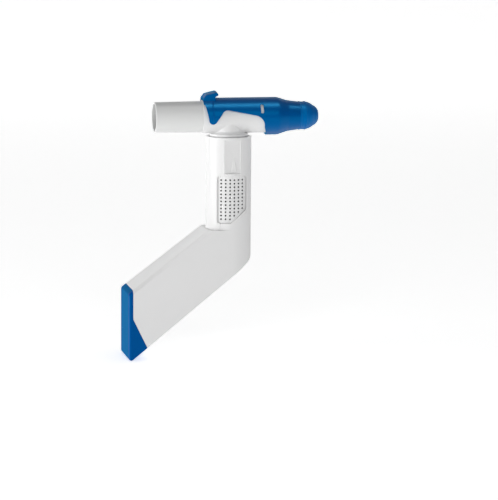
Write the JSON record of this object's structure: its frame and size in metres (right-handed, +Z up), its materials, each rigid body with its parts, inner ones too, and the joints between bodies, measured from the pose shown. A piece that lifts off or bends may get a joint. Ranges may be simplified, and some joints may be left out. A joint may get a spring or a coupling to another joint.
{
  "type": "positive expiratory pressure device",
  "caption": "Hand-held breathing trainer: grip tube with perforated outlet panels, bent duct with end cap, and a swivelling head with a port tube and a clip-on nose piece.",
  "frame": {"origin": "on the upright tube's axis, at the middle of the hand grip", "axes": "+Z up the upright tube, +X towards the nose piece, -X towards the port tube and the duct; the device is symmetric about the XZ plane"},
  "size_m": [0.1415, 0.0378, 0.1925],
  "materials": {
    "white_plastic": "satin moulded white plastic",
    "panel_plastic": "satin moulded white plastic",
    "grey_white_plastic": "satin, slightly greyer white plastic",
    "blue_plastic": "satin moulded blue plastic",
    "blue_rubber": "soft satin blue elastomer",
    "hose_rubber": "soft dark grey rubber",
    "flap_rubber": "soft white silicone"
  },
  "bodies": {
    "housing": {"housing": "white_plastic", "front_grille": "panel_plastic", "rear_grille": "panel_plastic", "valve_hose": "hose_rubber"},
    "head": {"tee_head": "white_plastic", "valve_seat": "white_plastic"},
    "port": {"port_tube": "grey_white_plastic"},
    "nose_piece": {"nose_sleeve": "blue_plastic", "nose_tip": "blue_rubber"},
    "end_cap": {"end_cap": "blue_plastic"},
    "flap": {"inhale_flap": "flap_rubber"}
  },
  "joints": [
    {"name": "head_swivel", "type": "hinge", "parent": "housing", "child": "head", "pos_m": [0, 0, 0.034], "axis": [0, 0, 1], "range_deg": [-90, 90]},
    {"name": "nose_pull", "type": "slide", "parent": "head", "child": "nose_piece", "axis": [1, 0, 0], "range_m": [0, 0.06]},
    {"name": "port_pull", "type": "slide", "parent": "head", "child": "port", "axis": [-1, 0, 0], "range_m": [0, 0.02]},
    {"name": "cap_pull", "type": "slide", "parent": "housing", "child": "end_cap", "axis": [-0.7883, 0, -0.6153], "range_m": [0, 0.04]},
    {"name": "flap_lift", "type": "slide", "parent": "head", "child": "flap", "axis": [1, 0, 0], "range_m": [0, 0.001], "stiffness_N_per_m": 20}
  ]
}
